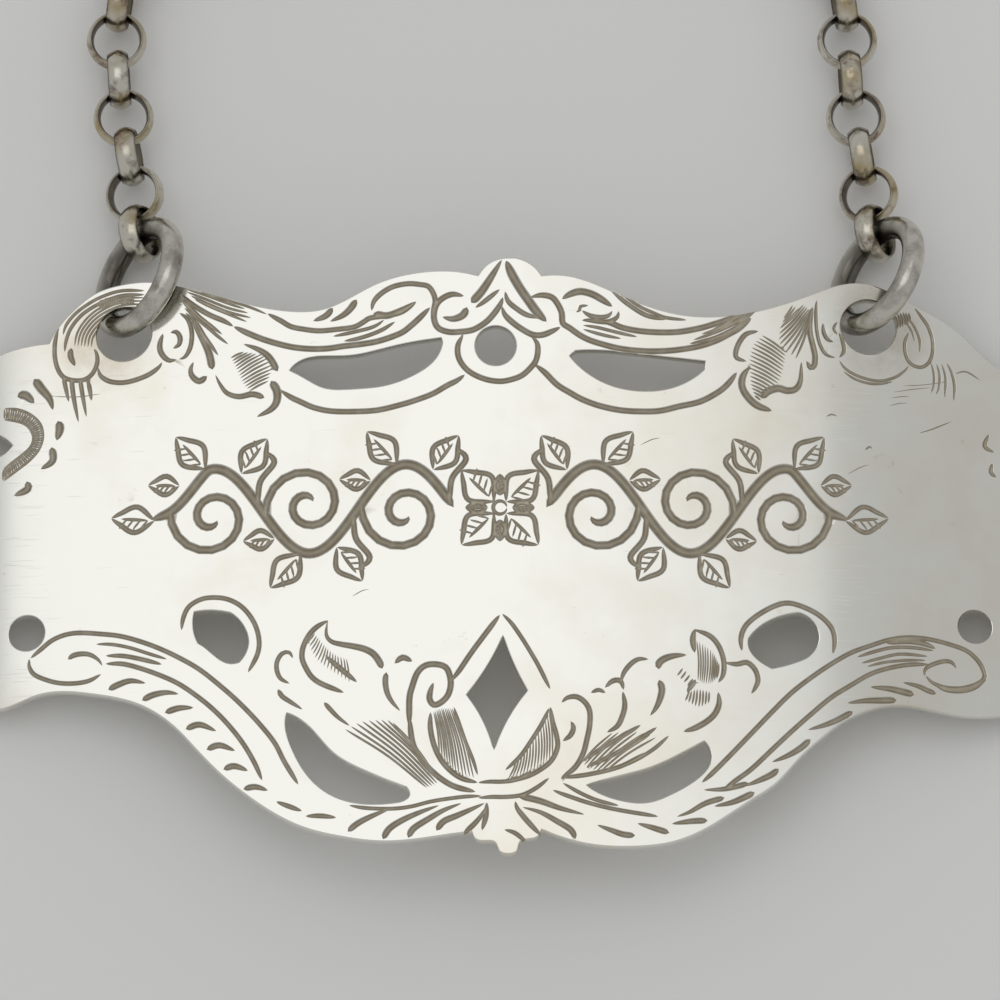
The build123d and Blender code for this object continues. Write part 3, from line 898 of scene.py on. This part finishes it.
def hoop_mesh(name, section, turns, place):
    """Closed hoop: a section, as distances from the axis and heights in millimetres, carried round."""
    vertices, faces = [], []
    for i in range(turns):
        angle = 2 * math.pi * i / turns
        for r, z in section:
            vertices.append(place @ (Vector((r * math.cos(angle), r * math.sin(angle), z)) * mm))
    count = len(section)
    for i in range(turns):
        for k in range(count):
            ahead = (i + 1) % turns * count
            faces.append((i * count + k, ahead + k, ahead + (k + 1) % count, i * count + (k + 1) % count))
    mesh = bpy.data.meshes.new(name)
    mesh.from_pydata(vertices, [], faces)
    mesh.polygons.foreach_set("use_smooth", [True] * len(faces))
    mesh.validate()
    outer = max(r for r, z in section)
    inner = min(r for r, z in section)
    # inner_side runs from 0 on the outside of the section to 1 on its inner side; the metals darken by it as
    # painted shade
    keep_for_points(mesh, "inner_side", [(outer - r) / (outer - inner) for r, z in section] * turns)
    return mesh


ring_grey = linear("CFCCC2")
ring_dark = linear("716D63")
ring_painted_shade = linear("56524A")
cloud_size = 1.6
dent_size = 0.6
dent_depth = 0.03
ring_silver, tree, shader = metal("darkened_sterling")
place = add(tree, "ShaderNodeTexCoord", {}).outputs["Object"]
cloud = noise(tree, place, cloud_size, 5, 0.65)
tone = blend(tree, spread(tree, cloud, 0.45, 0.75), ring_grey, ring_dark)
# painted shade: the wire is coloured darker towards the inner side of the ring
painted_inner_shade = spread(tree, kept_value(tree, "inner_side"), 0.3, 0.9, 0, 0.9)
tree.links.new(blend(tree, painted_inner_shade, tone, ring_painted_shade), shader.inputs["Base Color"])
tree.links.new(spread(tree, cloud, 0.3, 0.7, 0.16, 0.30), shader.inputs["Roughness"])
dents = noise(tree, place, dent_size, 3)
bump = add(tree, "ShaderNodeBump", {"Height": dents, "Distance": dent_depth * mm, "Strength": 0.6})
tree.links.new(bump.outputs[0], shader.inputs["Normal"])

for side in ("left", "right"):
    node = f"{side}_jump_ring"
    place = hoop_place(frame["nodes"][node])
    inverse = place.inverted()
    reach = max((inverse @ v.co).xy.length for v in frame["nodes"][node].data.vertices) / mm
    section = []
    for k in range(wire_turns):
        angle = 2 * math.pi * k / wire_turns
        section.append((reach - ring_wire / 2 * (1 - math.cos(angle)), ring_wire / 2 * math.sin(angle)))
    name = f"{side}_ring_wire"
    ring = bpy.data.objects.new(name, hoop_mesh(name, section, ring_turns, place))
    bpy.context.scene.collection.objects.link(ring)
    ring.data.materials.append(ring_silver)
    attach(ring, f"{side}_ring")
    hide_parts(node)

# The neck chain: round links of D-shaped band, each turned a quarter from the last and soldered shut. The
# silver has tarnished unevenly, yellow to brown, and the inside of each link is painted darker as shade.
link_inner_radius = 1.155
link_edge_radius = 1.30
link_outer_radius = 1.53
link_half_band = 0.54
link_turns = 60

chain_grey = linear("D2CEC2")
chain_yellow = linear("B3A27C")
chain_brown = linear("6E5245")
chain_painted_shade = linear("544B40")
tarnish_size = 3.2
blot_size = 1.1
chain_silver, tree, shader = metal("tarnished_sterling")
place = add(tree, "ShaderNodeTexCoord", {}).outputs["Object"]
yellowing = spread(tree, noise(tree, place, tarnish_size, 4, 0.6), 0.45, 0.65)
tone = blend(tree, yellowing, chain_grey, chain_yellow)
blots = noise(tree, place, blot_size, 5, 0.7)
deep = blend(tree, spread(tree, blots, 0.50, 0.70), tone, chain_brown)
# painted shade: each band is coloured darker towards the inside of its link
painted_inner_shade = spread(tree, kept_value(tree, "inner_side"), 0.35, 0.7, 0, 0.85)
tree.links.new(blend(tree, painted_inner_shade, deep, chain_painted_shade), shader.inputs["Base Color"])
tree.links.new(spread(tree, blots, 0.3, 0.7, 0.16, 0.34), shader.inputs["Roughness"])


def crowned(middle_radius, z):
    """Radius of a crowned face of the band at a height z."""
    return link_edge_radius + (middle_radius - link_edge_radius) * (1 - (z / link_half_band) ** 2)


band = []
for k in range(9):
    z = link_half_band * (k / 4 - 1)
    band.append((crowned(link_inner_radius, z), -z))
for k in range(1, 12):
    z = link_half_band * (k / 6 - 1)
    band.append((crowned(link_outer_radius, z), z))

for body, members in frame["record"]["behaviour"]["bodies"].items():
    for node in members:
        if "link" not in node:
            continue
        place = hoop_place(frame["nodes"][node])
        link = bpy.data.objects.new(f"{node}_band", hoop_mesh(f"{node}_band", band, link_turns, place))
        bpy.context.scene.collection.objects.link(link)
        link.data.materials.append(chain_silver)
        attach(link, body)
        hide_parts(node)

# The table, the lights and the camera: a plain pale surface, one wide soft box almost overhead that dims
# towards its right edge, whose white the polished face shows except at its right end, and the dimmer room.
table_size = 2.0
table_colour = linear("F2F1EE")
room_light = 0.655
box_distance = 0.6
box_depth = 0.40
box_back = 0.15
box_edges = [-0.40, 0.05, 0.09, 0.13, 0.17, 0.21, 0.246]
box_radiances = [0.55, 0.51, 0.46, 0.40, 0.33, 0.26]
camera_elevation = math.radians(75.9)
camera_distance = 0.45
photo_width = 50 * mm
sensor_width = 36

bpy.ops.mesh.primitive_plane_add(size=table_size, location=(0, 0, min(corner[2] for corner in cad_box[:1])))
table = bpy.context.object
table.name = "table"
table_paint = bpy.data.materials.new("matt_board")
table_paint.use_nodes = True
board = table_paint.node_tree.nodes["Principled BSDF"]
board.inputs["Base Color"].default_value = table_colour
board.inputs["Roughness"].default_value = 0.85
table.data.materials.append(table_paint)

world = bpy.data.worlds.new("room")
world.use_nodes = True
world.node_tree.nodes["Background"].inputs["Color"].default_value = linear("E6E7E8")
world.node_tree.nodes["Background"].inputs["Strength"].default_value = room_light
bpy.context.scene.world = world

for i, radiance in enumerate(box_radiances):
    width = box_edges[i + 1] - box_edges[i]
    lamp = bpy.data.lights.new(f"soft_box_{i}", "AREA")
    lamp.shape = "RECTANGLE"
    lamp.size = width
    lamp.size_y = box_depth
    lamp.energy = radiance * math.pi * width * box_depth
    panel = bpy.data.objects.new(f"soft_box_{i}", lamp)
    panel.location = (box_edges[i] + width / 2, label_middle * mm + box_back, label_high.z + box_distance)
    bpy.context.scene.collection.objects.link(panel)

aim_up = (photo_middle[1] - frame_middle) / photo_scale_up + label_middle
photo_centre = Vector((0, aim_up, label_top - sheet_thickness)) * mm
lens = bpy.data.cameras.new("camera")
lens.sensor_width = sensor_width
lens.lens = sensor_width * camera_distance / photo_width
lens.clip_start = 0.01
camera = bpy.data.objects.new("camera", lens)
toward = Vector((0, -math.cos(camera_elevation), math.sin(camera_elevation)))
camera.location = photo_centre + toward * camera_distance
camera.rotation_euler = toward.to_track_quat("Z", "Y").to_euler()
bpy.context.scene.collection.objects.link(camera)
bpy.context.scene.camera = camera
bpy.context.scene.view_settings.view_transform = "Standard"
